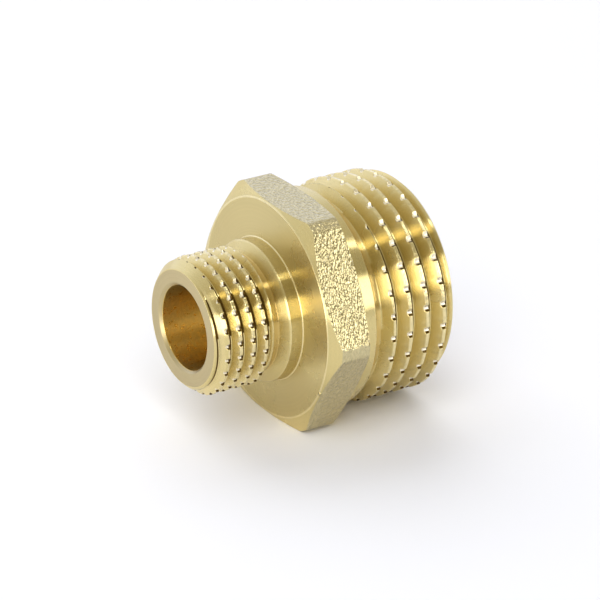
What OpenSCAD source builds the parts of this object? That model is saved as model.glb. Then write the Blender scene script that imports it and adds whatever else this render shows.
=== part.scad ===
// Reducing hex nipple in brass: one hollow piece with a male pipe thread at both ends.
// Lengths along the pipe are measured from the small end face.
// The part lies on one hex flat: the pipe axis is along X, the small end points to -X, and Z is up.

/* [Overall] */
// Length from the small end face to the large end face
body_len = 23; // [22:0.5:30]

/* [Small end] */
// Outer diameter of the small thread, over its crests
small_major_d = 12.9; // [12.7:0.05:13.15]
// Pitch of the small thread, 19 turns to the inch
small_pitch = 1.337; // [1.2:0.001:1.4]
// Length of the lead chamfer at the small end
small_chamfer_len = 1; // [0.8:0.1:1.2]
// Outer diameter of the flat small end face
small_face_d = 10.96; // [10.6:0.02:11.1]
// Distance from the small end face to the edge of the plain shoulder
small_thread_len = 7.4; // [7:0.1:7.6]
// Diameter of the plain shoulder between the small thread and the hex
shoulder_d = 13.3; // [13.2:0.05:14]
// Width of the turned relief behind the small thread, at its root
small_relief_len = 0.55; // [0.4:0.05:0.7]
// Angle about the pipe axis at which the small thread starts
small_thread_angle = 59; // [0:1:359]

/* [Large end] */
// Outer diameter of the large thread, over its crests
large_major_d = 20.955; // [20.4:0.005:20.955]
// Pitch of the large thread, 14 turns to the inch
large_pitch = 1.814; // [1.7:0.001:1.9]
// Length of the lead chamfer at the large end
large_chamfer_len = 1.1; // [0.9:0.1:1.3]
// Outer diameter of the flat large end face
large_face_d = 19; // [18.7:0.1:19.3]
// Width of the turned relief between the collar and the large thread, at its root
large_relief_len = 0.5; // [0.4:0.05:0.7]
// Angle about the pipe axis at which the large thread starts
large_thread_angle = 59; // [0:1:359]

/* [Hex] */
// Distance from the small end face to the front face of the hex, at its rim
hex_front = 8.85; // [8.7:0.05:9.5]
// Width of the hex across its flats
hex_flats = 21; // [21:0.1:24]
// How much less than a sharp hexagon the hex measures across its corners
corner_cut = 0.65; // [0.3:0.05:1]
// Length of a hex flat along the pipe, at its middle
hex_len = 4.05; // [3.5:0.05:5.5]
// How much smaller than the flats the circle is where the front chamfer starts
front_ring_gap = 0.36; // [0.1:0.02:0.8]
// Angle of the front chamfer of the hex from a face square to the pipe
front_chamfer_angle = 25; // [20:1:35]
// Angle of the rear chamfer of the hex from a face square to the pipe
rear_chamfer_angle = 18; // [12:1:30]
// How far the front face of the hex falls back from the pipe to its rim
front_dish = 0.2; // [0:0.05:0.4]

/* [Collar] */
// Length of the turned collar between the hex and the large thread
collar_len = 1.35; // [1:0.05:1.6]
// Diameter of the collar at the hex
collar_d = 20.8; // [20.4:0.05:20.95]
// Diameter of the collar at the large thread
collar_end_d = 20.5; // [20:0.05:20.9]

/* [Bores] */
// Diameter of the bore through the small end
small_bore_d = 7.9; // [6:0.1:9]
// Diameter of the bore from the large end
large_bore_d = 15; // [12:0.1:16]
// Distance from the rim of the hex front face back to the full width of the large bore
large_bore_setback = 2.15; // [1.6:0.05:4]
// Full angle of the drill point that joins the two bores
drill_point_angle = 118; // [90:1:135]
// Chamfer at the mouth of the small bore
small_mouth_chamfer = 0.28; // [0.1:0.01:0.5]
// Chamfer at the mouth of the large bore
large_mouth_chamfer = 0.4; // [0.1:0.05:0.6]

/* [Hidden] */

// Half of the angle between the flanks of both threads
flank_angle = 27.5;
// Thread depth, and width of its root land, as shares of the pitch
depth_share = 0.6403;
land_share = 1 / 6;
// Distance from the small end face to a small crest, and from the collar to a large one,
// both at the angle where the thread starts
small_crest_z = 1.87;
large_crest_gap = 1.16;
// The groove cutters reach past the crests by this share of the pitch
mouth_share = 0.08;
// Straight steps in one turn of a thread groove
steps_per_turn = 48;
// The other cutters reach past the surfaces by this much
overcut = 0.5;
// Small break on the turned edges
edge_break = 0.12;
// The reliefs are turned this much deeper than the thread roots
relief_drop = 0.08;
// Fineness of the round surfaces
round_fn = 96;

small_r = small_major_d / 2;
large_r = large_major_d / 2;
small_root_r = small_r - depth_share * small_pitch;
large_root_r = large_r - depth_share * large_pitch;
shoulder_r = shoulder_d / 2;
hex_rear = hex_front + hex_len;
collar_r = collar_d / 2;
collar_end_r = collar_end_d / 2;
collar_end = hex_rear + collar_len;
corner_r = (hex_flats / cos(30) - corner_cut) / 2;
front_ring_r = (hex_flats - front_ring_gap) / 2;
axis_height = hex_flats / 2;

// Lays a shape that stands on the small end face along X, on its hex flat
module lay_down() {
  translate([-body_len / 2, 0, axis_height]) rotate([90, 0, 90]) children();
}

// Turned outline from the small end to the large end, before the grooves are cut
module turned_body() {
  small_relief_r = small_root_r - relief_drop;
  large_relief_r = large_root_r - relief_drop;
  small_flank = (small_r - small_relief_r) * tan(flank_angle);
  large_flank = (large_r - large_relief_r) * tan(flank_angle);
  small_relief_end = small_thread_len - edge_break - small_flank;
  small_relief_start = small_relief_end - small_relief_len;
  large_relief_start = collar_end + (collar_end_r - large_relief_r) * tan(flank_angle);
  large_relief_end = large_relief_start + large_relief_len;
  rotate_extrude($fn = round_fn) polygon([
    [0, 0],
    [small_face_d / 2, 0],
    [small_r, small_chamfer_len],
    [small_r, small_relief_start - small_flank],
    [small_relief_r, small_relief_start],
    [small_relief_r, small_relief_end],
    [shoulder_r - edge_break, small_thread_len - edge_break],
    [shoulder_r, small_thread_len],
    [shoulder_r, hex_front - front_dish - edge_break],
    [shoulder_r + edge_break, hex_front - front_dish],
    [front_ring_r, hex_front],
    [front_ring_r, hex_rear],
    [collar_r, hex_rear],
    [collar_end_r, collar_end - edge_break],
    [collar_end_r - edge_break, collar_end],
    [large_relief_r, large_relief_start],
    [large_relief_r, large_relief_end],
    [large_r, large_relief_end + large_flank],
    [large_r, body_len - large_chamfer_len],
    [large_face_d / 2, body_len],
    [0, body_len],
  ]);
}

// Hexagon with its corners turned down and its two faces chamfered
module hex_flange() {
  front_rise = (corner_r - front_ring_r) * tan(front_chamfer_angle);
  rear_fall = (corner_r - collar_r) * tan(rear_chamfer_angle);
  intersection() {
    translate([0, 0, hex_front - overcut])
      cylinder(d = hex_flats / cos(30), h = hex_len + 2 * overcut, $fn = 6);
    rotate_extrude($fn = round_fn) polygon([
      [0, hex_front],
      [front_ring_r, hex_front],
      [corner_r, hex_front + front_rise],
      [corner_r, hex_rear - rear_fall],
      [collar_r, hex_rear],
      [0, hex_rear],
    ]);
  }
}

// Both bores, the drill point that joins them and the chamfers at their mouths
module bores() {
  small_bore_r = small_bore_d / 2;
  large_bore_r = large_bore_d / 2;
  large_bore_start = hex_front + large_bore_setback;
  point_len = (large_bore_r - small_bore_r) / tan(drill_point_angle / 2);
  rotate_extrude($fn = round_fn) polygon([
    [0, -overcut],
    [small_bore_r + small_mouth_chamfer + overcut, -overcut],
    [small_bore_r, small_mouth_chamfer],
    [small_bore_r, large_bore_start - point_len],
    [large_bore_r, large_bore_start],
    [large_bore_r, body_len - large_mouth_chamfer],
    [large_bore_r + large_mouth_chamfer + overcut, body_len + overcut],
    [0, body_len + overcut],
  ]);
}

// Corners of the groove section at one angle, its root land first
function groove_section(root_r, mouth_r, pitch, z, angle) =
  let (
    root_half = land_share * pitch / 2,
    mouth_half = root_half + (mouth_r - root_r) * tan(flank_angle)
  )
  [for (p = [[root_r, -root_half], [root_r, root_half], [mouth_r, mouth_half], [mouth_r, -mouth_half]])
    [p[0] * cos(angle), p[0] * sin(angle), z + p[1]]];

// Cutter for the groove of a right-handed thread, one section carried along a helix.
// A crest passes crest_z at start_angle, and the groove runs half a pitch beside it.
module thread_groove(root_r, crest_r, pitch, crest_z, start_angle, z_from, z_to) {
  mouth_r = crest_r + mouth_share * pitch;
  first = ceil((z_from - crest_z) / pitch * steps_per_turn);
  last = floor((z_to - crest_z) / pitch * steps_per_turn);
  points = [for (i = [first : last]) each groove_section(root_r, mouth_r, pitch,
    crest_z + (i / steps_per_turn + 0.5) * pitch, start_angle + i * 360 / steps_per_turn)];
  sides = [for (i = [0 : last - first - 1], k = [0 : 3])
    let (a = 4 * i + k, b = 4 * i + (k + 1) % 4) each [[a, b + 4, b], [a, a + 4, b + 4]]];
  end = 4 * (last - first);
  caps = [[0, 1, 2], [0, 2, 3], [end + 2, end + 1, end], [end + 3, end + 2, end]];
  polyhedron(points = points, faces = concat(sides, caps), convexity = 10);
}

// The whole nipple, with its two threads cut
module nipple_body() {
  color("#c9a94f") lay_down() difference() {
    union() {
      turned_body();
      hex_flange();
    }
    bores();
    thread_groove(small_root_r, small_r, small_pitch, small_crest_z, small_thread_angle,
      -2 * small_pitch, small_thread_len - 1.2 * small_pitch);
    thread_groove(large_root_r, large_r, large_pitch, collar_end + large_crest_gap,
      large_thread_angle, collar_end, body_len + large_pitch);
  }
}

nipple_body();
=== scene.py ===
import math

import bpy
import numpy as np
from mathutils import Matrix, Vector


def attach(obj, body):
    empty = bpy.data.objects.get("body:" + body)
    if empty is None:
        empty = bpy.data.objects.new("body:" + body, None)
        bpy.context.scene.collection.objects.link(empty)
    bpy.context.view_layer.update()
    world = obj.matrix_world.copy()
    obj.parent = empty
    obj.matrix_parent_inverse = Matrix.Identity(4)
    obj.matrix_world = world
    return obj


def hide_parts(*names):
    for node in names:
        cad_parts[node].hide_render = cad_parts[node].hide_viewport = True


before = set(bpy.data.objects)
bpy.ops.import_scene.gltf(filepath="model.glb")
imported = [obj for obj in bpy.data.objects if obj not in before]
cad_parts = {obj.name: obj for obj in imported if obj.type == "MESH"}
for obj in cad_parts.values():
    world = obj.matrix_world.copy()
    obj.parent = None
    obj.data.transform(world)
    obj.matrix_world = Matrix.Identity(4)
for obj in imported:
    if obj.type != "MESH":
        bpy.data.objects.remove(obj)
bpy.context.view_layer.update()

bl_info = {
    "name": "Brass pipe nipple",
    "version": (1, 0, 0),
    "blender": (4, 5, 0),
    "location": "View3D > Sidebar > Nipple",
    "description": "Builds the dressed pipe nipple round its packed solid, with its floor, light and camera",
    "category": "Object",
}

MM = 0.001
TURN = 2 * math.pi

# Finish numbers of the faces, in the order of the material slots
TURNED, FRONT, FACED, THREADED, CREST, NOTCHED, PAINTED_SHADE, RELIEF, BURNISHED, BLASTED, BORED = range(11)


# Sizes and colours that a user would change

def length(name, description, mm):
    """A length property that is given in millimetres and held in metres."""
    return bpy.props.FloatProperty(name=name, description=description, default=mm * MM,
                                   unit="LENGTH", precision=5)


def slant(name, description, degrees):
    """An angle property that is given in degrees and held in radians."""
    return bpy.props.FloatProperty(name=name, description=description, default=math.radians(degrees),
                                   subtype="ANGLE")


def share(name, description, default):
    """A property that is a share of a thread's pitch."""
    return bpy.props.FloatProperty(name=name, description=description + ", in pitches", default=default)


def colour(name, description, default):
    """A colour property that is held as an sRGB hex value."""
    return bpy.props.StringProperty(name=name, description=description + ", as sRGB hex", default=default)


class NippleBodySizes(bpy.types.PropertyGroup):
    """Sizes of the hexagon, the collar and the bores, measured from the small end face."""
    body_len: length("Length", "From the small end face to the large end face", 23)
    hex_front: length("Hex front", "Small end face to the rim of the hex front face", 8.85)
    hex_flats: length("Across flats", "Width of the hex across its flats", 21)
    corner_d: length("Across corners", "Diameter that the hex corners are turned to", 23.599)
    hex_len: length("Flat length", "Length of a hex flat at its middle", 4.05)
    front_ring_d: length("Front ring", "Diameter where the front chamfer starts", 20.64)
    front_dish: length("Dish", "Fall of the front face from the pipe to its rim", 0.2)
    collar_len: length("Collar length", "Length of the turned collar", 1.35)
    collar_d: length("Collar", "Diameter of the collar at the hex", 20.8)
    collar_end_d: length("Collar end", "Diameter of the collar at the large thread", 20.5)
    small_bore_d: length("Small bore", "Diameter of the bore through the small end", 7.9)
    large_bore_d: length("Large bore", "Diameter of the bore from the large end", 15)
    large_bore_start: length("Large bore start", "Where the large bore has its full width", 11)
    small_mouth: length("Small mouth", "Chamfer at the mouth of the small bore", 0.28)
    large_mouth: length("Large mouth", "Chamfer at the mouth of the large bore", 0.4)
    front_chamfer: slant("Front chamfer", "Angle of the front chamfer from a square face", 25)
    rear_chamfer: slant("Rear chamfer", "Angle of the rear chamfer from a square face", 18)
    drill_point: slant("Drill point", "Full angle of the cone between the bores", 118)


class SmallThreadSizes(bpy.types.PropertyGroup):
    """Sizes of the small thread and of the notches across its crests."""
    major_d: length("Crests", "Diameter over the crests", 12.9)
    pitch: length("Pitch", "Distance from crest to crest", 1.337)
    crest_at: length("First crest", "Small end face to a crest at the start angle", 1.87)
    start_angle: slant("Start angle", "Angle about the pipe where the crest is measured", 59)
    face_d: length("End face", "Outer diameter of the flat end face", 10.96)
    chamfer_len: length("Lead chamfer", "Length of the lead chamfer", 1)
    shoulder_d: length("Shoulder", "Diameter of the plain shoulder", 13.3)
    shoulder_at: length("Shoulder edge", "Small end face to the edge of the shoulder", 7.4)
    relief_len: length("Relief", "Width of the turned relief at its root", 0.55)
    notches: bpy.props.IntProperty(
        name="Notches", description="Notches in one turn of a crest", default=28, min=3)
    notch_start: slant("First notch", "Angle of the first row of notches", 83.5)
    notch_depth: length("Notch depth", "Depth of a notch across a crest", 0.27)
    notch_half: length("Notch half width", "Half the width of a notch at the crest", 0.26)
    burr: length("Burr", "Deepest tear in the crests", 0.09)
    torn_share: share("Torn share", "Reach of the torn surface to each side of a crest", 0.14)
    # The next three place the painted shade behind the crests and in the backs of the notches
    stain_from: share("Stain from", "Start of a notch's stained back behind the crest", 0.045)
    stain_to: share("Stain to", "End of the root's wide stain behind the crest", 0.6)
    stain_at: slant("Stain at", "Angle of the middle of the wide stain", 148)


class LargeThreadSizes(bpy.types.PropertyGroup):
    """Sizes of the large thread and of the notches across its crests."""
    major_d: length("Crests", "Diameter over the crests", 20.955)
    pitch: length("Pitch", "Distance from crest to crest", 1.814)
    crest_at: length("First crest", "Small end face to a crest at the start angle", 15.41)
    start_angle: slant("Start angle", "Angle about the pipe where the crest is measured", 59)
    face_d: length("End face", "Outer diameter of the flat end face", 19)
    chamfer_len: length("Lead chamfer", "Length of the lead chamfer", 1.1)
    relief_len: length("Relief", "Width of the turned relief at its root", 0.5)
    notches: bpy.props.IntProperty(
        name="Notches", description="Notches in one turn of a crest", default=30, min=3)
    notch_start: slant("First notch", "Angle of the first row of notches", 110)
    notch_depth: length("Notch depth", "Depth of a notch across a crest", 0.28)
    notch_half: length("Notch half width", "Half the width of a notch at the crest", 0.32)
    burr: length("Burr", "Deepest tear in the crests", 0.015)
    torn_share: share("Torn share", "Reach of the torn surface to each side of a crest", 0.09)
    # The next three place the painted shade behind the crests and in the backs of the notches
    stain_from: share("Stain from", "Start of a notch's stained back behind the crest", 0.11)
    stain_to: share("Stain to", "End of the root's wide stain behind the crest", 0.54)
    stain_at: slant("Stain at", "Angle of the middle of the wide stain", 148)


class StageSettings(bpy.types.PropertyGroup):
    """Colours of the brass and of the floor."""
    brass: colour("Brass", "Colour of clean turned brass", "#DBC98C")
    front_brass: colour("Front brass", "Colour of the hex front face", "#D0BE84")
    faced_brass: colour("Faced brass", "Colour of the small end face", "#BCAC81")
    thread_brass: colour("Thread brass", "Colour of the cut threads", "#E2D094")
    blasted_brass: colour("Blasted brass", "Colour of the hex flats", "#CDC093")
    # Painted shade: dark brown behind the thread crests and in the backs of the notches
    root_shade_brass: colour("Root brass", "Colour of the stained thread roots", "#574119")
    relief_brass: colour("Relief brass", "Colour of the turned reliefs", "#DBC07A")
    bore_brass: colour("Bore brass", "Colour of the drilled bores", "#DABD6C")
    edge_brass: colour("Edge brass", "Colour of the burnished edges", "#E8D8A2")
    # Near white, paler than brass: a painted highlight that makes each notch glint
    notch_highlight_brass: colour("Notch brass", "Colour of the fresh metal in the notches", "#FFF4D6")
    floor: colour("Floor", "Colour of the floor", "#FAFAFD")


# Thread form: the tangent of half the angle between the flanks, and the depth and the root land in pitches
FLANK_TAN = math.tan(math.radians(27.5))
DEPTH_SHARE = 0.6403
LAND_HALF = 1 / 12

# The reliefs are turned this much deeper than the thread roots
RELIEF_DROP = 0.08 * MM
# Small break on the turned edges
EDGE_BREAK = 0.12 * MM
# Reach of the round where a lead chamfer meets the crests
CREST_BREAK = 0.04 * MM
# Reach along the pipe of the round at the outer edge of the large end face
RIM_BREAK = 0.05 * MM

# Phases of the rows in half a pitch, 0 at a crest and 0.5 at a root: a pair close together at each edge of a
# land, and four rows where the torn crests end
EDGE_PHASE = 0.012
# Where the painted shade behind each crest starts, at the edge of its root land
SHADE_START = 0.5 - LAND_HALF - EDGE_PHASE
HALF_PHASES = np.array([0, LAND_HALF / 2, LAND_HALF - EDGE_PHASE, LAND_HALF + EDGE_PHASE,
                        0.112, 0.127, 0.142, 0.158, 0.2, 0.3,
                        SHADE_START, 0.5 - LAND_HALF + EDGE_PHASE, 0.5])

# The painted shade in a root ends here, but further on over a short part of each turn
SHADE_END = 0.535
WIDE_SHADE_HALF = math.radians(19)

# Waves of the tears along a crest: share of the depth, waves in one turn and start
TEAR_WAVES = ((0.5, 56.3, 0), (0.3, 91.7, 1), (0.2, 143.9, 2))


def softened(corners, breaks):
    """Corners of a profile, each replaced by three points of a small curve: one at the break's distance
    on either side and one half way between them and the corner. corners is (n, 2) or (n, columns, 2), and
    breaks is in mm, where 0 leaves a corner sharp."""
    corners = np.reshape(corners, (len(corners), -1, 2))
    before = np.concatenate([corners[:1], corners[:-1]])
    after = np.concatenate([corners[1:], corners[-1:]])
    size = MM * np.asarray(breaks)[:, None, None]

    def towards(other):
        step = other - corners
        far = np.linalg.norm(step, axis=2, keepdims=True)
        return corners + step * size / np.maximum(far, 1e-12)

    a, b = towards(before), towards(after)
    middle = (a + 2 * corners + b) / 4
    rows = []
    for i, width in enumerate(breaks):
        rows += [corners[i]] if width == 0 else [a[i], middle[i], b[i]]
    return np.array(rows)


def columns_round(count, start, offsets):
    """Angles round the pipe: count equal sectors from start, each with the same offsets inside it."""
    angles = (start + TURN / count * np.arange(count)[:, None] + offsets[None, :]).ravel()
    return np.sort(angles % TURN)


class Shell:
    """Points, faces and finishes of one closed surface, gathered block by block.
    A point is given by its distance z along the pipe, its radius r and its angle."""

    def __init__(self):
        self.z, self.r, self.angle = [], [], []
        self.quads, self.triangles = [], []
        self.quad_finish, self.triangle_finish = [], []
        self.count = 0

    def add_points(self, z, r, angle):
        """Adds a block of points and gives their numbers, in the block's own shape."""
        z, r, angle = np.broadcast_arrays(z, r, angle)
        self.z.append(z.ravel())
        self.r.append(r.ravel())
        self.angle.append(angle.ravel())
        index = self.count + np.arange(z.size).reshape(z.shape)
        self.count += z.size
        return index

    def add_quads(self, a, b, c, d, finish):
        """Adds a block of faces from the numbers of their four corners."""
        quads = np.stack([np.ravel(v) for v in (a, b, c, d)], axis=1)
        self.quads.append(quads)
        self.quad_finish.append(np.broadcast_to(finish, np.shape(a)).ravel())

    def add_rows(self, profile, angle, finish, first=None):
        """Rings of a profile of (z, r) rows turned round the pipe and joined row to row, outward when z grows
        on the outside. They go on from the ring first if there is one. finish is one number, or a list with
        one for each strip between two rings. Gives the first and the last ring."""
        profile = np.broadcast_to(profile, (len(profile), len(angle), 2))
        index = self.add_points(profile[:, :, 0], profile[:, :, 1], angle)
        if first is not None:
            index = np.concatenate([first[None], index])
        nxt = np.roll(index, -1, axis=1)
        self.add_quads(index[:-1], nxt[:-1], nxt[1:], index[1:], np.reshape(finish, (-1, 1)))
        return index[0], index[-1]

    def add_stitch(self, low, low_angle, high, high_angle, finish):
        """Joins two rings with different numbers of points. Each segment of one ring is a triangle with
        the point of the other ring that comes last before the segment's end."""
        before_low = np.searchsorted(high_angle, np.roll(low_angle, -1), side="left") - 1
        before_high = np.searchsorted(low_angle, np.roll(high_angle, -1), side="right") - 1
        self.triangles.append(np.stack([low, np.roll(low, -1), high[before_low]], axis=1))
        self.triangles.append(np.stack([high, low[before_high], np.roll(high, -1)], axis=1))
        self.triangle_finish.append(np.full(len(low) + len(high), finish))

    def add_thread(self, first, last_z, angle, thread, cap):
        """A thread between the ring first and the plane last_z. Its rows run along the helix: row q of a
        column lies at crest_at + pitch * (q + turns), clipped to the two ends, so rows join one pitch
        further on where the turn closes. Its radius is the least of the thread form, the cap and the
        notch, each a function of place. cap is the blank's profile, as its distances and its radii, and
        each of its corners between the ends takes the nearest row of each column."""
        z_first = np.concatenate(self.z)[first[0]]
        turns = (angle - thread["start_angle"]) / TURN
        # Rows where the painted shade behind the crests ends
        shade_ends = [SHADE_END, thread["stain_to"]]
        phases = np.sort(np.concatenate([HALF_PHASES, shade_ends, 1 - HALF_PHASES[-2:0:-1]]))
        low = math.floor((z_first - thread["crest_at"]) / thread["pitch"] - turns.max()) - 1
        high = math.ceil((last_z - thread["crest_at"]) / thread["pitch"] - turns.min()) + 1
        phase = (np.arange(low, high)[:, None] + phases[None, :]).ravel()
        z = thread["crest_at"] + thread["pitch"] * (phase[:, None] + turns[None, :])
        for corner_z in cap[0][1:-1]:
            row = np.abs(z - corner_z).argmin(axis=0)
            z[row, np.arange(len(angle))] = corner_z
        z = np.clip(z, z_first, last_z)
        r, _ = thread_radius(z, angle[None, :], thread, cap)
        index = self.add_points(z, r, angle[None, :])
        index = np.where(z <= z_first, first[None, :], index)
        last = index[-1].copy()
        index = np.where(z >= last_z, last[None, :], index)
        per, rows = len(phases), len(phase)
        onward = np.concatenate([index, np.repeat(index[-1:], per, axis=0)])
        nxt = np.empty_like(index)
        nxt[:, :-1] = index[:, 1:]
        nxt[:, -1] = onward[per:per + rows, 0]
        half_step = np.diff(np.append(angle, angle[0] + TURN)) / 2
        z_mid = (z[:-1] + z[1:]) / 2 + thread["pitch"] * half_step / TURN
        _, finish = thread_radius(z_mid, (angle + half_step)[None, :], thread, cap)
        self.add_quads(index[:-1], nxt[:-1], nxt[1:], index[1:], finish)
        return last

    def build(self, name, body_len, axis_height):
        """The mesh of everything gathered, laid along X with the pipe's axis at axis_height. A quad with
        two neighbouring corners in one point becomes a triangle, and one with no area is left out."""
        z, r, angle = (np.concatenate(v) for v in (self.z, self.r, self.angle))
        points = np.stack([z - body_len / 2, r * np.cos(angle), axis_height + r * np.sin(angle)], axis=1)
        quads = np.concatenate(self.quads)
        finish = np.concatenate(self.quad_finish)
        a, b, c, d = quads.T
        ab, bc, cd, da = a == b, b == c, c == d, d == a
        flat = (ab & cd) | (bc & da) | (ab & bc) | (bc & cd) | (cd & da) | (da & ab) | (a == c) | (b == d)
        three = (ab | bc | cd | da) & ~flat
        four = ~flat & ~three
        drop = np.stack([ab, bc, cd, da], axis=1)[three].argmax(axis=1)
        keep = (drop[:, None] + np.array([1, 2, 3])[None, :]) % 4
        tri = np.concatenate([np.take_along_axis(quads[three], keep, axis=1)] + self.triangles)
        tri_finish = np.concatenate([finish[three]] + self.triangle_finish)
        quad = quads[four]
        used, inverse = np.unique(np.concatenate([quad.ravel(), tri.ravel()]), return_inverse=True)
        quad_finish = finish[four]
        tri = inverse[quad.size:].reshape(-1, 3)
        quad = inverse[:quad.size].reshape(-1, 4)
        return mesh_from(name, points[used], quad, tri, np.concatenate([quad_finish, tri_finish]))


def thread_radius(z, angle, thread, cap):
    """Radius and finish of a threaded surface: a trapezium of crest land, flank and root land over one
    pitch, its crest torn in uneven waves along the helix, cut down to the cap's radius at z and to the
    nearest notch, a hollow whose depth falls with the square of the distance round the crest from its
    middle. Painted shade darkens the side of a root land next to the small end, over more of it round the
    shade angle, and a notch's back and its side of higher angle."""
    crest, pitch = thread["major_d"] / 2, thread["pitch"]
    phase = (z - thread["crest_at"]) / pitch - (angle - thread["start_angle"]) / TURN
    away = np.abs(phase - np.round(phase))
    behind = phase - np.floor(phase)
    run = angle + TURN * np.round(phase)
    tear = sum(part * np.sin(waves * run + start) for part, waves, start in TEAR_WAVES)
    form = crest - DEPTH_SHARE * pitch * np.clip((away - LAND_HALF) / (DEPTH_SHARE * FLANK_TAN), 0, 1)
    fade = np.clip(2 - 2 * away / thread["torn_share"], 0, 1)
    form = form - thread["burr"] * (0.5 - 0.5 * tear) * fade
    step = TURN / thread["notches"]
    off = (angle - thread["notch_start"]) / step
    side = (off - np.round(off)) * step * crest
    notch = crest - thread["notch_depth"] * (1 - (side / thread["notch_half"]) ** 2)
    blank = np.interp(z, *cap)
    plain = np.minimum(form, blank)
    # Painted shade behind each crest: the root land's side next to the small end, further on round the shade
    # angle, and each notch's back and its side of higher angle
    wide = np.cos(angle - thread["stain_at"]) > math.cos(WIDE_SHADE_HALF)
    shade_end = np.where(wide, thread["stain_to"], SHADE_END)
    finish = np.where(away < thread["torn_share"], CREST, THREADED)
    finish = np.where((behind > SHADE_START) & (behind < shade_end), PAINTED_SHADE, finish)
    finish = np.where(blank < form, TURNED, finish)
    shaded = (side > thread["notch_half"] / 2) | ((behind > thread["stain_from"]) & (behind < 0.5))
    # The rest of each notch gets the near-white notch finish, a painted highlight
    finish = np.where(notch < plain, np.where(shaded, PAINTED_SHADE, NOTCHED), finish)
    return np.minimum(plain, notch), finish


def mesh_from(name, points, quads, tris, finish):
    """A mesh of quads and triangles whose corner normals are the area-weighted means at each point."""
    mesh = bpy.data.meshes.new(name)
    loops = np.concatenate([quads.ravel(), tris.ravel()]).astype(np.int32)
    sizes = np.concatenate([np.full(len(quads), 4), np.full(len(tris), 3)])
    starts = np.concatenate([[0], np.cumsum(sizes)[:-1]]).astype(np.int32)
    mesh.vertices.add(len(points))
    mesh.vertices.foreach_set("co", points.astype(np.float32).ravel())
    mesh.loops.add(len(loops))
    mesh.loops.foreach_set("vertex_index", loops)
    mesh.polygons.add(len(sizes))
    mesh.polygons.foreach_set("loop_start", starts)
    mesh.polygons.foreach_set("material_index", finish.astype(np.int32))
    mesh.update(calc_edges=True)
    mesh.validate()
    mesh.shade_smooth()
    normals = np.zeros_like(points)
    q = points[quads]
    area = np.cross(q[:, 2] - q[:, 0], q[:, 3] - q[:, 1])
    for k in range(4):
        np.add.at(normals, quads[:, k], area)
    t = points[tris]
    area = np.cross(t[:, 1] - t[:, 0], t[:, 2] - t[:, 0])
    for k in range(3):
        np.add.at(normals, tris[:, k], area)
    normals /= np.maximum(np.linalg.norm(normals, axis=1, keepdims=True), 1e-20)
    mesh.normals_split_custom_set_from_vertices(normals)
    return mesh


# The nipple. Columns of the hexagon's grid, in degrees from the middle of a flat, closer near its corners
HEX_COLUMNS = [2.5, 5, 7.5, 10, 12.5, 15, 17.5, 20, 22.5, 25, 26.7, 27.5, 28.4, 29.3]
HEX_CORNER = 30
# Columns between two notches, as shares of the way from one to the next
SMALL_COLUMNS = (0.34, 0.5, 0.66)
LARGE_COLUMNS = (0.26, 0.42, 0.58, 0.74)
# Reach of the two columns that close a notch, past its edges
NOTCH_RIM = 0.06 * MM

# Rings with different numbers of columns are stitched together between these pairs of places: distances from
# the small end face in the bore, radii on the hex front face, and distances behind the hexagon on the collar
BORE_SEAM = (7.6 * MM, 7.9 * MM)
FACE_SEAM = (8.2 * MM, 8.4 * MM)
COLLAR_SEAM = (0.3 * MM, 0.5 * MM)

# Length of the lead chamfer's foot beside the small end face
FOOT = 0.12 * MM
# Reach of the burnished lip where the hex front face meets its chamfer
LIP = 0.07 * MM
# Place of one more ring in the large relief, and radius of one on the large end face
RELIEF_RING = 0.16 * MM
FACE_RING_R = 9.2 * MM


def values(group):
    """A property group's values as a plain dict."""
    keys = group.bl_rna.properties.keys()
    return {key: getattr(group, key) for key in keys if key not in ("name", "rna_type")}


def thread_columns(thread, between):
    """Angles of a thread's columns: close together across each notch, then at shares of the way to the
    next one."""
    crest_r, half = thread["major_d"] / 2, thread["notch_half"]
    step = TURN * crest_r / thread["notches"]
    across = [-half - NOTCH_RIM, -half, -half / 2, 0, half / 2, half, half + NOTCH_RIM]
    offsets = np.array(across + [step * part for part in between]) / crest_r
    return columns_round(thread["notches"], thread["notch_start"], offsets)


def front_face_z(body, shoulder_r, r):
    """Where the hex front face lies at radius r: it rises in a straight line from the pipe to its rim."""
    front_r, dish = body["front_ring_d"] / 2, body["front_dish"]
    return body["hex_front"] - dish + dish * (r - shoulder_r) / (front_r - shoulder_r)


def collar_radius(body, z):
    """Radius of the collar, which tapers in a straight line from the hexagon to the large thread."""
    start_r = body["collar_d"] / 2
    slope = (body["collar_end_d"] / 2 - start_r) / body["collar_len"]
    return start_r + slope * (z - (body["hex_front"] + body["hex_len"]))


def small_end(shell, body, small, angle):
    """The small bore's mouth, the small end face and the foot of the lead chamfer, one turned profile. Gives
    the ring in the bore and the last ring."""
    bore_r, mouth, face_r = body["small_bore_d"] / 2, body["small_mouth"], small["face_d"] / 2
    slope = (small["major_d"] / 2 - face_r) / small["chamfer_len"]
    rows = softened([[BORE_SEAM[0], bore_r], [mouth, bore_r], [0, bore_r + mouth], [0, face_r],
                     [FOOT, face_r + slope * FOOT]], [0, 0.05, 0.05, 0.06, 0])
    bore_ring, ring = shell.add_rows(rows[:4], angle, BORED)
    _, ring = shell.add_rows(rows[4:], angle, [FACED] * 4 + [TURNED] * 3, ring)
    return bore_ring, ring


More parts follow.
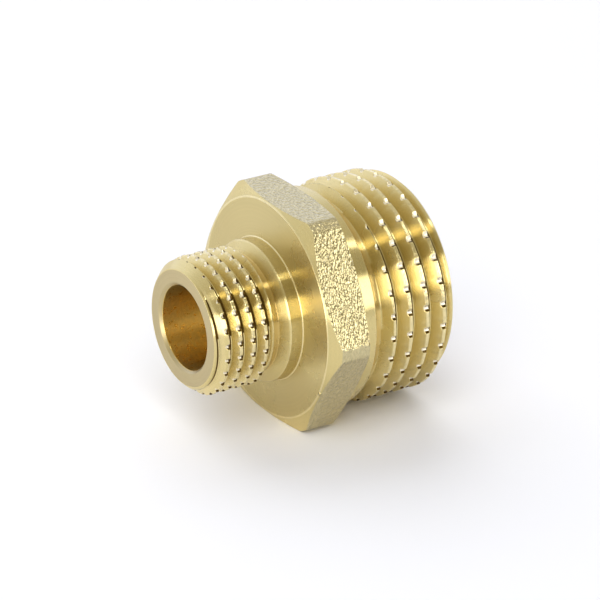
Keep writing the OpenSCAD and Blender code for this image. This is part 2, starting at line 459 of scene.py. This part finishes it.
def small_side(shell, body, small, angle, ring):
    """The small thread, its relief, the shoulder and the inner part of the hex front face. Gives the last
    ring."""
    crest_r, face_r, shoulder_r = small["major_d"] / 2, small["face_d"] / 2, small["shoulder_d"] / 2
    slope = (crest_r - face_r) / small["chamfer_len"]
    relief_r = crest_r - DEPTH_SHARE * small["pitch"] - RELIEF_DROP
    flank = (crest_r - relief_r) * FLANK_TAN
    relief_end = small["shoulder_at"] - EDGE_BREAK - flank
    relief_start = relief_end - small["relief_len"]
    lead = small["chamfer_len"]
    cap = ([0, lead - CREST_BREAK, lead + CREST_BREAK, relief_start - flank, relief_start],
           [face_r, crest_r - slope * CREST_BREAK, crest_r, crest_r, relief_r])
    ring = shell.add_thread(ring, relief_start, angle, small, cap)
    rows = softened([[relief_start, relief_r], [relief_end, relief_r],
                     [small["shoulder_at"] - EDGE_BREAK, shoulder_r - EDGE_BREAK],
                     [small["shoulder_at"], shoulder_r],
                     [body["hex_front"] - body["front_dish"], shoulder_r],
                     [front_face_z(body, shoulder_r, FACE_SEAM[0]), FACE_SEAM[0]]],
                    [0, 0.06, 0.04, 0.04, 0.12, 0])
    finish = [RELIEF] * 3 + [TURNED] * 4 + [BURNISHED] + [TURNED] * 2 + [BURNISHED] * 2 + [FRONT]
    _, ring = shell.add_rows(rows[1:], angle, finish, ring)
    return ring


def hexagon(shell, body, shoulder_r, angle):
    """The outer part of the hex front face, its chamfer, the flats, the rear chamfer and the start of the
    collar. A flat's radius is half the width across the flats over the cosine of the angle from its middle,
    up to the turned corner. Each chamfer reaches along the pipe by the tangent of its angle times the
    flat's radius less the radius where the chamfer starts. Gives the first and the last ring."""
    sector = TURN / 6
    tilt = (angle - math.pi / 2) % sector
    tilt = np.minimum(tilt, sector - tilt)
    flat_r = np.minimum(body["hex_flats"] / 2 / np.cos(tilt), body["corner_d"] / 2)
    front_r, collar_r = body["front_ring_d"] / 2, body["collar_d"] / 2
    front_tan, rear_tan = math.tan(body["front_chamfer"]), math.tan(body["rear_chamfer"])
    hex_front = body["hex_front"]
    hex_rear = hex_front + body["hex_len"]
    seam_z = hex_rear + COLLAR_SEAM[0]
    corners = [(front_face_z(body, shoulder_r, FACE_SEAM[1]), FACE_SEAM[1]),
               (front_face_z(body, shoulder_r, front_r - LIP), front_r - LIP),
               (hex_front - LIP / 3, front_r),
               (hex_front + LIP * front_tan, front_r + LIP),
               (hex_front + (flat_r - front_r) * front_tan, flat_r),
               (hex_rear - (flat_r - collar_r) * rear_tan, flat_r),
               (hex_rear, collar_r),
               (seam_z, collar_radius(body, seam_z))]
    level = np.zeros_like(angle)
    path = np.array([[z + level, r + level] for z, r in corners]).transpose(0, 2, 1)
    rows = softened(path, [0, 0.02, 0.025, 0.02, 0.04, 0.045, 0.045, 0])
    return shell.add_rows(rows, angle, [FRONT] + [BURNISHED] * 8 + [TURNED] + [BLASTED] * 5 + [TURNED] * 4)


def large_side(shell, body, large, angle):
    """The collar's end, the relief, the large thread, the large end face and the large bore back to the small
    one. Gives the first and the last ring."""
    crest_r, face_r = large["major_d"] / 2, large["face_d"] / 2
    relief_r = crest_r - DEPTH_SHARE * large["pitch"] - RELIEF_DROP
    hex_rear = body["hex_front"] + body["hex_len"]
    seam_z = hex_rear + COLLAR_SEAM[1]
    collar_end, collar_end_r = hex_rear + body["collar_len"], body["collar_end_d"] / 2
    relief_start = collar_end + (collar_end_r - relief_r) * FLANK_TAN
    relief_end = relief_start + large["relief_len"]
    rows = softened([[seam_z, collar_radius(body, seam_z)],
                     [collar_end - EDGE_BREAK, collar_end_r], [collar_end, collar_end_r - EDGE_BREAK],
                     [relief_start, relief_r], [relief_start + RELIEF_RING, relief_r],
                     [relief_end, relief_r]], [0, 0.04, 0.04, 0.06, 0, 0])
    finish = [TURNED] + [BURNISHED] * 2 + [TURNED] * 4 + [RELIEF] * 4
    first, ring = shell.add_rows(rows, angle, finish)
    end = body["body_len"]
    lead = end - large["chamfer_len"]
    slope = (crest_r - face_r) / large["chamfer_len"]
    cap = ([relief_end, relief_end + (crest_r - relief_r) * FLANK_TAN, lead - CREST_BREAK,
            lead + CREST_BREAK, end - RIM_BREAK, end],
           [relief_r, crest_r, crest_r, crest_r - slope * CREST_BREAK, face_r + slope * RIM_BREAK,
            face_r - CREST_BREAK])
    ring = shell.add_thread(ring, end, angle, large, cap)
    small_r, large_r = body["small_bore_d"] / 2, body["large_bore_d"] / 2
    mouth, bore_start = body["large_mouth"], body["large_bore_start"]
    point_len = (large_r - small_r) / math.tan(body["drill_point"] / 2)
    rows = softened([[end, FACE_RING_R], [end, large_r + mouth], [end - mouth, large_r],
                     [bore_start, large_r], [bore_start - point_len, small_r],
                     [BORE_SEAM[1], small_r]], [0, 0.05, 0.05, 0.05, 0.05, 0])
    _, ring = shell.add_rows(rows[:5], angle, TURNED, ring)
    _, ring = shell.add_rows(rows[5:], angle, BORED, ring)
    return first, ring


def nipple_mesh(body, small, large):
    """The whole nipple as one closed shell, from inside the small bore out over both ends and back."""
    shell = Shell()
    small_angle = thread_columns(small, SMALL_COLUMNS)
    large_angle = thread_columns(large, LARGE_COLUMNS)
    half = np.array(HEX_COLUMNS)
    hex_offsets = np.radians(np.concatenate([-half[::-1], [0], half, [HEX_CORNER]]))
    hex_angle = columns_round(6, math.pi / 2, hex_offsets)
    bore_ring, ring = small_end(shell, body, small, small_angle)
    ring = small_side(shell, body, small, small_angle, ring)
    hex_ring, collar_ring = hexagon(shell, body, small["shoulder_d"] / 2, hex_angle)
    shell.add_stitch(ring, small_angle, hex_ring, hex_angle, FRONT)
    first, last = large_side(shell, body, large, large_angle)
    shell.add_stitch(collar_ring, hex_angle, first, large_angle, TURNED)
    shell.add_stitch(last, large_angle, bore_ring, small_angle, BORED)
    return shell.build("nipple_brass", body["body_len"], body["hex_flats"] / 2)


# Materials. A noise's tones and its roughness spread over this middle range of it
NOISE_LOW, NOISE_HIGH = 0.3, 0.7

# Small grains and pits, each with its place in mm, its radius and its height, where a pit's is below 0
FACE_SPOTS = (((-2.62, -9.27, 5.83), 0.22, 0.2), ((-2.7, 8.35, 14.82), 0.1, -0.08),
              ((-2.67, 6.11, 18.37), 0.09, -0.08), ((-2.71, -1.92, 19.48), 0.09, -0.08))
THREAD_SPOTS = (((5.94, -5.91, 19.15), 0.3, 0.12), ((5.98, -6.25, 18.9), 0.16, -0.12))
FLAT_SPOTS = (((-1.25, -9.85, 6.57), 0.28, 0.12), ((-1.05, -9.7, 6.85), 0.16, 0.08))


def linear(hex_colour, brightness=1.0):
    """An sRGB hex colour as linear red, green, blue and alpha, with the first three times the brightness."""
    srgb = np.array([int(hex_colour[i:i + 2], 16) for i in (1, 3, 5)]) / 255
    lin = np.where(srgb <= 0.04045, srgb / 12.92, ((srgb + 0.055) / 1.055) ** 2.4)
    return (*(brightness * lin).tolist(), 1.0)


def add_node(tree, kind, settings=None, inputs=None, stops=()):
    """Adds a node, sets its attributes, sets or links its inputs, and sets a colour ramp's stops. An
    input's value is a socket to link from or a plain value, and a stop is its place and linear colour."""
    node = tree.nodes.new(kind)
    for key, value in (settings or {}).items():
        setattr(node, key, value)
    for key, value in (inputs or {}).items():
        if isinstance(value, bpy.types.NodeSocket):
            tree.links.new(value, node.inputs[key])
        else:
            node.inputs[key].default_value = value
    for i, (place, stop_colour) in enumerate(stops):
        elements = node.color_ramp.elements
        stop = elements[i] if i < len(elements) else elements.new(place)
        stop.position = place
        stop.color = stop_colour
    return node


def new_material(name):
    """An empty node material with its output node."""
    material = bpy.data.materials.new(name)
    material.use_nodes = True
    tree = material.node_tree
    tree.nodes.clear()
    return material, tree, tree.nodes.new("ShaderNodeOutputMaterial")


def round_the_pipe(tree, axis_height):
    """Object coordinates, and the direction round the pipe at each point: the pipe's direction crossed with
    the arm from the axis to the point. The lathe cuts in that direction."""
    place = add_node(tree, "ShaderNodeTexCoord").outputs["Object"]
    arm = add_node(tree, "ShaderNodeVectorMath", {"operation": "SUBTRACT"},
                   {0: place, 1: (0, 0, axis_height)}).outputs[0]
    around = add_node(tree, "ShaderNodeVectorMath", {"operation": "CROSS_PRODUCT"}, {0: (1, 0, 0), 1: arm})
    return place, around.outputs[0]


def turning_marks(tree, place, axis_height, width):
    """The lathe's marks, width mm from one to the next: noise that changes along the pipe and with the radius
    but not round the pipe. A real lathe's marks are about half as wide, too fine to show in the render."""
    arm = add_node(tree, "ShaderNodeVectorMath", {"operation": "SUBTRACT"},
                   {0: place, 1: (0, 0, axis_height)}).outputs[0]
    across = add_node(tree, "ShaderNodeVectorMath", {"operation": "MULTIPLY"},
                      {0: arm, 1: (0, 1, 1)}).outputs[0]
    radius = add_node(tree, "ShaderNodeVectorMath", {"operation": "LENGTH"}, {0: across}).outputs["Value"]
    along = add_node(tree, "ShaderNodeSeparateXYZ", inputs={0: place}).outputs[0]
    section = add_node(tree, "ShaderNodeCombineXYZ", inputs={0: along, 1: radius}).outputs[0]
    return add_node(tree, "ShaderNodeTexNoise", inputs={
        "Vector": section, "Scale": 1 / (width * MM), "Detail": 2.0}).outputs[0]


def spotted(tree, place, spots, normal):
    """A bump with small grains and pits added over it. Each is a height of 1 at its centre that falls
    smoothly to 0 at its radius, times its own height."""
    for centre, radius, height in spots:
        gap = add_node(tree, "ShaderNodeVectorMath", {"operation": "DISTANCE"},
                       {0: place, 1: tuple(part * MM for part in centre)}).outputs["Value"]
        rise = add_node(tree, "ShaderNodeMapRange", {"interpolation_type": "SMOOTHSTEP"},
                        {0: gap, 1: 0.0, 2: radius * MM, 3: 1.0, 4: 0.0}).outputs[0]
        normal = add_node(tree, "ShaderNodeBump", inputs={
            "Strength": 1.0, "Distance": height * MM, "Height": rise, "Normal": normal}).outputs[0]
    return normal


def finish_brass(tree, output, hex_colour, tint, tones, inputs):
    """Ends a brass material with its metal shader. Its colour goes from the first to the second of tones
    times its brightness with the middle range of the noise tint."""
    ramp = add_node(tree, "ShaderNodeValToRGB", inputs={0: tint}, stops=[
        (NOISE_LOW, linear(hex_colour, tones[0])), (NOISE_HIGH, linear(hex_colour, tones[1]))])
    shader = add_node(tree, "ShaderNodeBsdfPrincipled", inputs={
        "Base Color": ramp.outputs[0], "Metallic": 1.0, **inputs})
    tree.links.new(shader.outputs[0], output.inputs[0])


def turned_brass(name, hex_colour, axis_height, roughness, spots=()):
    """Turned brass. The lathe's fine grooves run round the pipe, so highlights spread across them, and
    single grooves show as faint lighter and darker rings. Its dullness changes a little from patch to patch,
    4 mm apart."""
    material, tree, output = new_material(name)
    place, around = round_the_pipe(tree, axis_height)
    marks = turning_marks(tree, place, axis_height, 0.12)
    wear = add_node(tree, "ShaderNodeTexNoise", inputs={
        "Vector": place, "Scale": 1 / (4 * MM), "Detail": 3.0, "Roughness": 0.6}).outputs[0]
    dullness = add_node(tree, "ShaderNodeMapRange", inputs={
        0: wear, 1: NOISE_LOW, 2: NOISE_HIGH, 3: roughness - 0.02, 4: roughness + 0.02}).outputs[0]
    grooves = add_node(tree, "ShaderNodeBump", inputs={
        "Strength": 1.0, "Distance": 0.0015 * MM, "Height": marks}).outputs[0]
    finish_brass(tree, output, hex_colour, marks, (0.97, 1.03), {
        "Roughness": dullness, "Normal": spotted(tree, place, spots, grooves),
        "Anisotropic": 1.0, "Anisotropic Rotation": 0.25, "Tangent": around})
    return material


def faced_brass(hex_colour, axis_height):
    """Faced brass of the small end face: dull and pale, with faint rings from the facing cut."""
    material, tree, output = new_material("faced_brass")
    place = add_node(tree, "ShaderNodeTexCoord").outputs["Object"]
    marks = turning_marks(tree, place, axis_height, 0.14)
    wear = add_node(tree, "ShaderNodeTexNoise", inputs={
        "Vector": place, "Scale": 1 / (1.5 * MM), "Detail": 3.0, "Roughness": 0.6}).outputs[0]
    dullness = add_node(tree, "ShaderNodeMapRange", inputs={
        0: wear, 1: NOISE_LOW, 2: NOISE_HIGH, 3: 0.34, 4: 0.42}).outputs[0]
    rings = add_node(tree, "ShaderNodeBump", inputs={
        "Strength": 1.0, "Distance": 0.004 * MM, "Height": marks}).outputs[0]
    finish_brass(tree, output, hex_colour, marks, (0.94, 1.04), {"Roughness": dullness, "Normal": rings})
    return material


def scuffed_brass(hex_colour, axis_height):
    """Brass crests that the thread tool has torn a little: rough, with bright and dark nicks 0.3 mm apart."""
    material, tree, output = new_material("scuffed_brass")
    place, around = round_the_pipe(tree, axis_height)
    nicks = add_node(tree, "ShaderNodeTexNoise", inputs={
        "Vector": place, "Scale": 1 / (0.3 * MM), "Detail": 3.0, "Roughness": 0.6}).outputs[0]
    scuffs = add_node(tree, "ShaderNodeBump", inputs={
        "Strength": 1.0, "Distance": 0.04 * MM, "Height": nicks}).outputs[0]
    finish_brass(tree, output, hex_colour, nicks, (0.85, 1.1), {
        "Roughness": 0.2, "Normal": scuffs,
        "Anisotropic": 0.5, "Anisotropic Rotation": 0.25, "Tangent": around})
    return material


def notched_brass(hex_colour):
    """Brass pressed in by the notching wheel: smooth, and near white as a painted highlight. Each notch
    glints on one side because its other side has the painted shade of the roots.
    """
    material, tree, output = new_material("notched_brass")
    place = add_node(tree, "ShaderNodeTexCoord").outputs["Object"]
    wear = add_node(tree, "ShaderNodeTexNoise", inputs={
        "Vector": place, "Scale": 1 / (0.5 * MM), "Detail": 3.0, "Roughness": 0.6}).outputs[0]
    finish_brass(tree, output, hex_colour, wear, (0.92, 1.0), {"Roughness": 0.28})
    return material


def stained_brass(hex_colour):
    """Painted shade on the brass behind the crests and in the backs of the notches, where shade falls: dark
    brown and dull."""
    material, tree, output = new_material("stained_brass")
    place = add_node(tree, "ShaderNodeTexCoord").outputs["Object"]
    darkness = add_node(tree, "ShaderNodeTexNoise", inputs={
        "Vector": place, "Scale": 1 / (1.2 * MM), "Detail": 3.0, "Roughness": 0.6}).outputs[0]
    dullness = add_node(tree, "ShaderNodeMapRange", inputs={
        0: darkness, 1: NOISE_LOW, 2: NOISE_HIGH, 3: 0.5, 4: 0.4}).outputs[0]
    finish_brass(tree, output, hex_colour, darkness, (0.6, 1.2), {"Roughness": dullness})
    return material


def burnished_brass(hex_colour, spots):
    """Brass of the small fillets and edges, burnished by the tool's side: bright thin lines."""
    material, tree, output = new_material("burnished_brass")
    place = add_node(tree, "ShaderNodeTexCoord").outputs["Object"]
    wear = add_node(tree, "ShaderNodeTexNoise", inputs={
        "Vector": place, "Scale": 1 / (0.8 * MM), "Detail": 3.0, "Roughness": 0.6}).outputs[0]
    rubs = add_node(tree, "ShaderNodeBump", inputs={
        "Strength": 1.0, "Distance": 0.002 * MM, "Height": wear}).outputs[0]
    finish_brass(tree, output, hex_colour, wear, (0.95, 1.05), {
        "Roughness": 0.24, "Normal": spotted(tree, place, spots, rubs)})
    return material


def blasted_brass(hex_colour, spots):
    """Forged brass flats, blasted: a coarse bright grain that sparkles, drawn out a little round the pipe.
    The grit's own dents are about half as wide as this 0.38 mm grain, too fine to show in the render."""
    material, tree, output = new_material("blasted_brass")
    place = add_node(tree, "ShaderNodeTexCoord").outputs["Object"]
    drawn = add_node(tree, "ShaderNodeVectorMath", {"operation": "MULTIPLY"},
                     {0: place, 1: (2.2, 1, 1)}).outputs[0]
    grain = add_node(tree, "ShaderNodeTexNoise", inputs={
        "Vector": drawn, "Scale": 1 / (0.38 * MM), "Detail": 1.2, "Roughness": 0.6}).outputs[0]
    dents = add_node(tree, "ShaderNodeBump", inputs={
        "Strength": 1.0, "Distance": 0.15 * MM, "Height": grain}).outputs[0]
    finish_brass(tree, output, hex_colour, grain, (0.84, 1.1), {
        "Roughness": 0.18, "Normal": spotted(tree, place, spots, dents)})
    return material


def bored_brass(hex_colour, axis_height):
    """Drilled brass: satin, scratched round by the drill and flecked by its chips."""
    material, tree, output = new_material("bored_brass")
    place, around = round_the_pipe(tree, axis_height)
    scratches = turning_marks(tree, place, axis_height, 0.25)
    chips = add_node(tree, "ShaderNodeTexNoise", inputs={
        "Vector": place, "Scale": 1 / (0.35 * MM), "Detail": 3.0, "Roughness": 0.6}).outputs[0]
    dullness = add_node(tree, "ShaderNodeMapRange", inputs={
        0: chips, 1: NOISE_LOW, 2: NOISE_HIGH, 3: 0.4, 4: 0.24}).outputs[0]
    scored = add_node(tree, "ShaderNodeBump", inputs={
        "Strength": 1.0, "Distance": 0.012 * MM, "Height": scratches}).outputs[0]
    chipped = add_node(tree, "ShaderNodeBump", inputs={
        "Strength": 1.0, "Distance": 0.012 * MM, "Height": chips, "Normal": scored}).outputs[0]
    finish_brass(tree, output, hex_colour, chips, (0.9, 1.18), {
        "Roughness": dullness, "Normal": chipped,
        "Anisotropic": 0.8, "Anisotropic Rotation": 0.25, "Tangent": around})
    return material


class NIPPLE_OT_body(bpy.types.Operator):
    """Makes the nipple with its threads, notches and finishes"""
    bl_idname = "nipple.body"
    bl_label = "Nipple"

    def execute(self, context):
        scene = context.scene
        body, small, large = (values(g) for g in (scene.nipple_sizes, scene.small_thread, scene.large_thread))
        mesh = nipple_mesh(body, small, large)
        stage, axis_height = scene.nipple_stage, body["hex_flats"] / 2
        for material in (
                turned_brass("turned_brass", stage.brass, axis_height, 0.27, FACE_SPOTS),
                turned_brass("front_brass", stage.front_brass, axis_height, 0.28, FACE_SPOTS),
                faced_brass(stage.faced_brass, axis_height),
                turned_brass("threaded_brass", stage.thread_brass, axis_height, 0.26, THREAD_SPOTS),
                scuffed_brass(stage.edge_brass, axis_height),
                # near-white painted highlight in the notches
                notched_brass(stage.notch_highlight_brass),
                # painted shade behind the crests and in the backs of the notches
                stained_brass(stage.root_shade_brass),
                turned_brass("relief_brass", stage.relief_brass, axis_height, 0.27),
                burnished_brass(stage.edge_brass, FACE_SPOTS),
                blasted_brass(stage.blasted_brass, FLAT_SPOTS),
                bored_brass(stage.bore_brass, axis_height)):
            mesh.materials.append(material)
        piece = bpy.data.objects.new("nipple_brass", mesh)
        scene.collection.objects.link(piece)
        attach(piece, "root")
        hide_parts("nipple_body")
        return {"FINISHED"}


# The camera's place and its directions to the right and up, at the photograph's viewing angle
CAMERA_PLACE = Vector((-0.18022, -0.27354, 0.17318))
CAMERA_RIGHT = Vector((0.8419, -0.5387, 0.0323))
CAMERA_UP = Vector((0.2153, 0.3902, 0.8952))
# The lamps face this point, on the pipe's axis
AIM = Vector((0, 0, 0.0105))
# Half the side of the square floor
FLOOR_HALF = 2.0

# The room's linear colour by its depth: 0 in front of the part, 1 behind it
ROOM_STOPS = [(0.0, (0.39, 0.36, 0.27, 1)), (0.25, (0.48, 0.45, 0.35, 1)), (0.5, (0.66, 0.63, 0.55, 1)),
              (0.75, (0.85, 0.86, 0.9, 1)), (0.88, (1.1, 1.15, 1.36, 1)), (1.0, (1.22, 1.29, 1.6, 1))]
# The plain light that falls on the floor from all round
PLAIN_LIGHT = (0.375, 0.38, 0.395, 1)

# Soft lamps, each with its name, the direction to it, the direction of its long side, its distance, size and
# level. The first four light only the brass, as bright boxes and strips in its reflections.
BRASS_LAMPS = (
    ("left_box", (-0.8, -0.565, 0.14), (0.56, -0.74, 0.37), 0.32, (0.31, 0.14), 3.0),
    ("right_box", (0.711, -0.66, 0.225), (0.7, 0.633, -0.323), 0.32, (0.235, 0.15), 2.5),
    ("right_strip", (0.5, -0.26, 0.83), (0.81, 0.307, -0.388), 0.6, (0.5, 0.06), 2.6),
    ("left_strip", (-0.42, -0.3, 0.86), (-0.81, 0.307, -0.388), 0.6, (0.14, 0.07), 6.5))
# A lamp just over the floor beside the small end, outside the view: the floor under it shows in the brass
CARD = ("left_card", (0, 0, 1), (-0.79, -0.61, 0), 0.002, (0.145, 0.09), 1.1)
CARD_PLACE = (-0.1195, 0.0055, 0.002)
# Two lamps that the brass doesn't reflect light the floor, from behind and from the front left
FLOOR_LAMPS = (
    ("floor_light", (0.05, 0.7, 0.71), (1, -0.08, 0), 0.8, (1.0, 0.8), 1.38),
    ("floor_side", (-0.42, -0.5, 0.76), (0, 1, 0), 0.8, (0.6, 0.6), 2.4))


def panel(scene, name, toward, along, distance, size, level):
    """A soft rectangular lamp that faces the part. toward points from the part to the lamp, along is the
    direction of its long side, and level is its brightness, where a white sheet in plain light is 1."""
    data = bpy.data.lights.new(name, "AREA")
    data.shape = "RECTANGLE"
    data.size, data.size_y = size
    data.energy = 4 * size[0] * size[1] * level
    lamp = bpy.data.objects.new(name, data)
    scene.collection.objects.link(lamp)
    back = Vector(toward).normalized()
    side = Vector(along)
    side = (side - side.dot(back) * back).normalized()
    lamp.matrix_world = Matrix((side, back.cross(side), back)).transposed().to_4x4()
    lamp.location = AIM + back * distance
    lamp.visible_camera = False
    return lamp


def set_lamps(scene):
    """All the lamps. What each of them lights is set by the kinds of ray that see it."""
    for lamp in BRASS_LAMPS:
        panel(scene, *lamp).visible_diffuse = False
    panel(scene, *CARD).location = CARD_PLACE
    for lamp in FLOOR_LAMPS:
        panel(scene, *lamp).visible_glossy = False


def studio_world(scene):
    """The room: bright and cool behind the part, dimmer and warmer overhead and in front, by the depth y of
    the direction. The camera and the brass see this room, and the light that falls on the floor from all
    round is plain and dimmer."""
    world = bpy.data.worlds.new("studio")
    world.use_nodes = True
    tree = world.node_tree
    tree.nodes.clear()
    direction = add_node(tree, "ShaderNodeTexCoord").outputs["Generated"]
    depth = add_node(tree, "ShaderNodeSeparateXYZ", inputs={0: direction}).outputs[1]
    place = add_node(tree, "ShaderNodeMapRange", inputs={
        0: depth, 1: -1.0, 2: 1.0, 3: 0.0, 4: 1.0}).outputs[0]
    ramp = add_node(tree, "ShaderNodeValToRGB", inputs={0: place}, stops=ROOM_STOPS)
    room = add_node(tree, "ShaderNodeBackground", inputs={0: ramp.outputs[0]})
    plain = add_node(tree, "ShaderNodeBackground", inputs={0: PLAIN_LIGHT})
    path = add_node(tree, "ShaderNodeLightPath")
    seen = path.outputs["Is Camera Ray"]
    for kind in ("Is Glossy Ray", "Is Transmission Ray"):
        seen = add_node(tree, "ShaderNodeMath", {"operation": "MAXIMUM"},
                        {0: seen, 1: path.outputs[kind]}).outputs[0]
    both = add_node(tree, "ShaderNodeMixShader", inputs={0: seen, 1: plain.outputs[0], 2: room.outputs[0]})
    output = tree.nodes.new("ShaderNodeOutputWorld")
    tree.links.new(both.outputs[0], output.inputs[0])
    scene.world = world


def lay_floor(scene, hex_colour):
    """A square sheet of matt paper at height 0."""
    mesh = bpy.data.meshes.new("floor")
    s = FLOOR_HALF
    mesh.from_pydata([(-s, -s, 0), (s, -s, 0), (s, s, 0), (-s, s, 0)], [], [(0, 1, 2, 3)])
    floor = bpy.data.objects.new("floor", mesh)
    scene.collection.objects.link(floor)
    material, tree, output = new_material("floor_paper")
    shader = add_node(tree, "ShaderNodeBsdfDiffuse", inputs={"Color": linear(hex_colour)})
    tree.links.new(shader.outputs[0], output.inputs[0])
    mesh.materials.append(material)


def place_camera(scene):
    """A long lens at the photograph's viewing angle."""
    camera = bpy.data.objects.new("camera", bpy.data.cameras.new("camera"))
    scene.collection.objects.link(camera)
    camera.data.lens = 240
    camera.data.sensor_width = 36
    camera.data.clip_start, camera.data.clip_end = 0.01, 10
    right, up = CAMERA_RIGHT.normalized(), CAMERA_UP.normalized()
    back = right.cross(up).normalized()
    up = back.cross(right)
    camera.matrix_world = Matrix((right, up, back)).transposed().to_4x4()
    camera.location = CAMERA_PLACE
    scene.camera = camera


class NIPPLE_OT_stage(bpy.types.Operator):
    """Makes the floor, the light and the camera"""
    bl_idname = "nipple.stage"
    bl_label = "Stage"

    def execute(self, context):
        scene = context.scene
        lay_floor(scene, scene.nipple_stage.floor)
        studio_world(scene)
        set_lamps(scene)
        place_camera(scene)
        scene.view_settings.view_transform = "Standard"
        return {"FINISHED"}


class NIPPLE_PT_panel(bpy.types.Panel):
    """Lists the nipple's pieces and sizes"""
    bl_idname = "NIPPLE_PT_panel"
    bl_label = "Pipe nipple"
    bl_space_type = "VIEW_3D"
    bl_region_type = "UI"
    bl_category = "Nipple"

    def draw(self, context):
        layout = self.layout
        for name in GROUPS:
            group = getattr(context.scene, name)
            box = layout.box()
            for key in values(group):
                box.prop(group, key)
        layout.operator(NIPPLE_OT_body.bl_idname)
        layout.operator(NIPPLE_OT_stage.bl_idname)


GROUPS = {"nipple_sizes": NippleBodySizes, "small_thread": SmallThreadSizes,
          "large_thread": LargeThreadSizes, "nipple_stage": StageSettings}
CLASSES = (*GROUPS.values(), NIPPLE_OT_body, NIPPLE_OT_stage, NIPPLE_PT_panel)


def register():
    """Registers the classes and hangs their settings on the scene."""
    for cls in CLASSES:
        bpy.utils.register_class(cls)
    for name, group in GROUPS.items():
        setattr(bpy.types.Scene, name, bpy.props.PointerProperty(type=group))


def unregister():
    """Takes away what register made."""
    for name in GROUPS:
        delattr(bpy.types.Scene, name)
    for cls in reversed(CLASSES):
        bpy.utils.unregister_class(cls)


def main():
    """Registers the classes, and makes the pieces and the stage."""
    register()
    bpy.ops.nipple.body()
    bpy.ops.nipple.stage()


if __name__ == "__main__":
    main()
